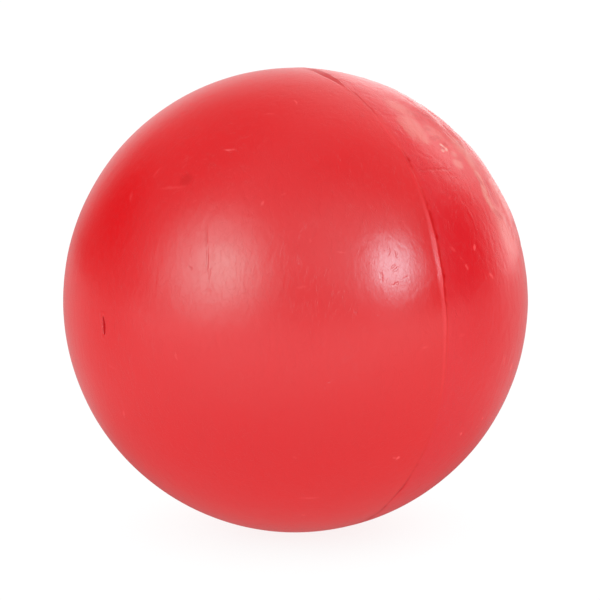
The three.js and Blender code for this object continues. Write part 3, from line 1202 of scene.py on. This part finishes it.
@dataclass
class Studio:
    """Plain soft studio: white all round, two softboxes, a pale floor and a few soft reflections.

    Reflections see the lobes in all three colours. Other rays see the same green and blue, and
    a plain red fill that is weaker from the camera's side, from above and from straight behind.
    The floor's sizes and runs are in metres, and a run is where a change starts and ends.
    """

    view: PhotoView
    ground: float
    fill_level: float = 1.82
    fill_in_front: float = -1.1
    fill_above: float = -0.58
    fill_behind: float = 0.8
    behind_cosines: tuple[float, float] = (-0.8, -0.3)
    wall_level: float = 0.88
    darkest: float = 0.02
    lobes: tuple[Lobe, ...] = (
        Lobe((-0.57, 0.79, -0.23), 51.5, -0.55),
        Lobe((-0.89, -0.04, -0.455), 51, -0.61),
        Lobe((-0.57, -0.42, -0.71), 42, -1.07),
        Lobe((0.87, 0.25, -0.425), 26.5, -3.0),
        Lobe((0.64, 0.17, -0.75), 43.5, 3.4),
        Lobe((-0.625, 0.225, 0.75), 34, 3.7, 0.3),
        Lobe((0.41, 0.46, 0.785), 33.5, 0.8, 0.3),
        Lobe((0.9, 0.285, 0.33), 28, 2.8, 0.3),
        Lobe((0.545, 0.745, 0.385), 47.5, -0.41),
        Lobe((0.94, 0.225, 0.26), 30, -3.2),
        Lobe((0.48, 0.365, -0.8), 22, -3.4),
    )
    softboxes: tuple[Softbox, ...] = (
        Softbox("left_softbox", (-0.554, 0.244, 0.796), 9.3, 4.25, (0.3, 1.0, 0.9)),
        Softbox("right_softbox", (0.714, 0.244, 0.657), 9.6, 14.4, (0.55, 1.0, 1.1)),
    )
    floor_radius: float = 8.0
    floor_ring: float = 0.5
    floor_middle: float = 0.0005
    floor_columns: int = 96
    floor_colour: str = "#F2F2F2"
    # Levels the floor shows in reflections: a painted shadow under the ball, painted glow off and in front.
    painted_shadow_below: float = 0.2
    floor_far: float = 0.55
    floor_in_front: float = 1.75
    far_run: tuple[float, float] = (0.033, 0.082)
    front_run: tuple[float, float] = (-0.02, 0.128)
    glow: float = 1.03
    glow_share: tuple[float, float] = (0.6, 1.0)
    glow_run: tuple[float, float] = (0.012, 0.05)

    def light(self) -> None:
        """Make the world's light and the softboxes.

        A reflection sees the wall's level plus each lobe's, eased in from its edge, and never
        less than the darkest. The red fill is its level, plus one change times the cosine to the
        camera, plus another times the cosine to the camera's up. Between the two cosines behind
        the ball it eases to the level there. The camera itself sees plain white.
        """
        world = bpy.data.worlds.new("white_studio")
        bpy.context.scene.world = world
        world.use_nodes = True
        world.cycles.sampling_method = "NONE"
        tree = world.node_tree
        tree.nodes.clear()
        looking = add_node(tree, "ShaderNodeTexCoord").outputs["Generated"]

        def facing(towards: tuple[float, float, float]) -> bpy.types.NodeSocket:
            """Cosine of the angle between the ray and a direction that the camera's axes give."""
            return add_node(tree, "ShaderNodeVectorMath",
                            {0: looking, 1: Vector(self.view.direction(*towards))},
                            operation="DOT_PRODUCT").outputs["Value"]

        seen = (self.wall_level,) * 3
        for lobe in self.lobes:
            inside = add_node(tree, "ShaderNodeMapRange",
                              {"Value": facing(lobe.towards),
                               "From Min": math.cos(math.radians(lobe.width)), "From Max": 1.0},
                              interpolation_type="SMOOTHSTEP").outputs[0]
            light = (lobe.level * lobe.red, lobe.level, lobe.level)
            seen = add_node(tree, "ShaderNodeVectorMath", {0: inside, 1: light, 2: seen},
                            operation="MULTIPLY_ADD").outputs[0]
        seen = add_node(tree, "ShaderNodeVectorMath", {0: seen, 1: (self.darkest,) * 3},
                        operation="MAXIMUM").outputs[0]
        fill = self.fill_level
        for towards, change in (((0.0, 0.0, 1.0), self.fill_in_front), ((0.0, 1.0, 0.0), self.fill_above)):
            fill = add_node(tree, "ShaderNodeMath", {0: facing(towards), 1: change, 2: fill},
                            operation="MULTIPLY_ADD").outputs[0]
        behind, side = self.behind_cosines
        beside = add_node(tree, "ShaderNodeMapRange",
                          {"Value": facing((0.0, 0.0, 1.0)), "From Min": behind, "From Max": side},
                          interpolation_type="SMOOTHSTEP").outputs[0]
        fill = add_node(tree, "ShaderNodeMix", {0: beside, 2: self.fill_behind, 3: fill},
                        data_type="FLOAT").outputs[0]
        shares = add_node(tree, "ShaderNodeSeparateXYZ", {0: seen}).outputs
        warm = add_node(tree, "ShaderNodeCombineXYZ", {0: fill, 1: shares[1], 2: shares[2]}).outputs[0]
        ray = add_node(tree, "ShaderNodeLightPath").outputs
        lit = add_node(tree, "ShaderNodeMix", {0: ray["Is Glossy Ray"], 6: warm, 7: seen},
                       data_type="RGBA").outputs[2]
        colour = add_node(tree, "ShaderNodeMix",
                          {0: ray["Is Camera Ray"], 6: lit, 7: (1.0, 1.0, 1.0, 1.0)},
                          data_type="RGBA").outputs[2]
        background = add_node(tree, "ShaderNodeBackground", {"Color": colour, "Strength": 1.0})
        add_node(tree, "ShaderNodeOutputWorld", {"Surface": background.outputs[0]})
        for softbox in self.softboxes:
            self.hang(softbox)

    def hang(self, softbox: Softbox) -> None:
        """Hang one softbox, facing the ball.

        A lamp's brightness is its power over pi times its area.

        Args:
            softbox: what to hang.
        """
        radius = softbox.distance * math.tan(math.radians(softbox.spread))
        data = bpy.data.lights.new(softbox.name, "AREA")
        data.shape = "DISK"
        data.size = 2 * radius
        data.energy = softbox.brightness * math.pi * math.pi * radius**2
        data.color = softbox.colour
        lamp = bpy.data.objects.new(softbox.name, data)
        bpy.context.collection.objects.link(lamp)
        towards = Vector(self.view.direction(*softbox.towards))
        lamp.location = towards * softbox.distance
        lamp.rotation_euler = towards.to_track_quat("Z", "Y").to_euler()
        lamp.visible_camera = False
        lamp.visible_diffuse = False

    def lay_floor(self) -> None:
        """Lay the pale floor that the ball stands on, as a table lit a little from below.

        Part of its light is its own, so it stays white and still takes a soft shadow, and that
        part grows away from the ball. For reflections alone its own light is a painted shadow under
        the ball and a painted glow that is brighter further off and brightest in front of it. The
        distance is from the ball's middle, so it starts at the ball's radius.
        """
        angle = np.arange(self.floor_columns) * 2 * math.pi / self.floor_columns
        rings = np.array([self.floor_middle, self.floor_ring, self.floor_radius])
        x = rings[:, None] * np.cos(angle)
        y = rings[:, None] * np.sin(angle)
        z = np.full_like(x, self.ground * MM)
        points = np.stack([x, y, z], axis=-1).reshape(-1, 3) / MM
        inward = grid_faces(len(rings), len(angle), close_rows=False)[:, ::-1]
        middle = list(range(len(angle)))
        floor = make_piece("pale_floor", points, [*inward.tolist(), middle])
        floor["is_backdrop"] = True
        material = new_material("translucent_white_acrylic")
        tree = material.node_tree
        paint = add_node(tree, "ShaderNodeBsdfDiffuse", {"Color": linear(self.floor_colour)})
        place = add_node(tree, "ShaderNodeTexCoord").outputs["Object"]
        forward = Vector(self.view.direction(0.0, -math.tan(math.radians(self.view.elevation)), 1.0))
        ahead = add_node(tree, "ShaderNodeVectorMath", {0: place, 1: forward},
                         operation="DOT_PRODUCT").outputs["Value"]
        away = add_node(tree, "ShaderNodeVectorMath", {0: place}, operation="LENGTH").outputs["Value"]
        # Reflections only: painted shadow under the ball, painted glow further off and in front.
        reflected = self.painted_shadow_below
        for distance, run, rise in ((away, self.far_run, self.floor_far - self.painted_shadow_below),
                                    (ahead, self.front_run, self.floor_in_front - self.floor_far)):
            grown = add_node(tree, "ShaderNodeMapRange",
                             {"Value": distance, "From Min": run[0], "From Max": run[1],
                              "To Min": 0.0, "To Max": rise},
                             interpolation_type="SMOOTHSTEP").outputs[0]
            reflected = add_node(tree, "ShaderNodeMath", {0: grown, 1: reflected},
                                 operation="ADD").outputs[0]
        ray = add_node(tree, "ShaderNodeLightPath").outputs
        strength = add_node(tree, "ShaderNodeMix",
                            {0: ray["Is Glossy Ray"], 2: self.glow, 3: reflected},
                            data_type="FLOAT").outputs[0]
        glow = add_node(tree, "ShaderNodeEmission", {"Color": (1.0, 1.0, 1.0, 1.0), "Strength": strength})
        share = add_node(tree, "ShaderNodeMapRange",
                         {"Value": away, "From Min": self.glow_run[0], "From Max": self.glow_run[1],
                          "To Min": self.glow_share[0], "To Max": self.glow_share[1]},
                         interpolation_type="SMOOTHSTEP").outputs[0]
        mixed = add_node(tree, "ShaderNodeMixShader", {0: share, 1: paint.outputs[0], 2: glow.outputs[0]})
        add_node(tree, "ShaderNodeOutputMaterial", {"Surface": mixed.outputs[0]})
        floor.data.materials.append(material)


@dataclass
class RubberBall:
    """The whole ball: two half shells, the cement between them and the plug inside."""

    radius: float = -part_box("smooth_half_shell")[0][0] / MM
    wall: float = 6.0
    seat_clearance: float = 0.3
    seat_depth: float = 2.5
    bead_place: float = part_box("seam_cement_ring")[1][0] / MM
    lip_place: float = 0.4

    def seat_profile(self) -> np.ndarray:
        """The plug's seat in the smooth half, from the axis over its floor to the flat land."""
        low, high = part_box("self_sealing_plug")
        floor = -low[0] / MM
        radius = (high[1] - low[1]) / 2 / MM + self.seat_clearance
        land = floor - self.seat_depth
        edge = math.sqrt((self.radius - self.wall) ** 2 - land**2)
        return np.array([[0.0, floor], [radius, floor], [radius, land], [edge, land]])

    def build(self, view: PhotoView) -> list[bpy.types.Object]:
        """Make and dress every piece.

        Args:
            view: the photograph's camera.

        Returns:
            The pieces that were made.
        """
        relief = Relief(view, self.radius)
        rim = SeamRim(self.radius, self.radius - self.wall, self.lip_place, self.bead_place)
        smooth = HalfShell("smooth_half", "smooth_half_shell", Half.SMOOTH, rim, relief,
                           self.seat_profile())
        wrinkled = HalfShell("wrinkled_half", "wrinkled_half_shell", Half.WRINKLED, rim, relief,
                             columns=448, open_spacing=0.27, pole_zone=1.0, pole_spacing=0.27)
        cement = CementRing("cement_lip", "seam_cement_ring", rim, relief)
        finishes = (
            (smooth, "smooth_rubber", MouldedRubber(
                "moulded_natural_rubber_satin", "#E90A13", "#E61419", roughness=0.28,
                grain=0.01, cloud=0.03, hairline=0.012, marks=SMOOTH_MARKS)),
            (wrinkled, "wrinkled_rubber", MouldedRubber(
                "moulded_natural_rubber_wrinkled", "#E80A18", "#E61220", roughness=0.3,
                grain=0.012, cloud=0.07, hairline=0.02, marks=WRINKLED_MARKS)),
            (cement, "rubber_cement", MouldedRubber(
                "cured_rubber_cement", "#E90A13", "#E61419", roughness=0.3,
                grain=0.02, cloud=0.03, hairline=0.0)),
        )
        pieces = []
        for part, slot, finish in finishes:
            piece = part.build()
            piece.data.materials.append(finish.build(view, self.radius))
            pieces.append(piece)
            LOG.info("%s: %d faces", piece.name, len(piece.data.polygons))
        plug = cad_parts["self_sealing_plug"]
        plug.material_slots[0].material = SoftGum().build()
        LOG.info("%s: dressed", plug.name)
        return pieces


def corners() -> list[list[float]]:
    """The shown object's lowest and highest corners as plain lists."""
    return [[float(v) for v in corner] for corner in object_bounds()]


def main() -> None:
    """Build the ball and its studio, with the floor at the foot of the imported model's box."""
    logging.basicConfig(level=logging.INFO, format="%(name)s: %(message)s")
    bpy.context.scene.view_settings.view_transform = "Standard"
    cad_box = corners()
    ball = RubberBall()
    view = PhotoView(ball.radius)
    view.place_camera()
    ball.build(view)
    studio = Studio(view, ground=cad_box[0][2] / MM)
    studio.light()
    studio.lay_floor()


if __name__ == "__main__":
    main()
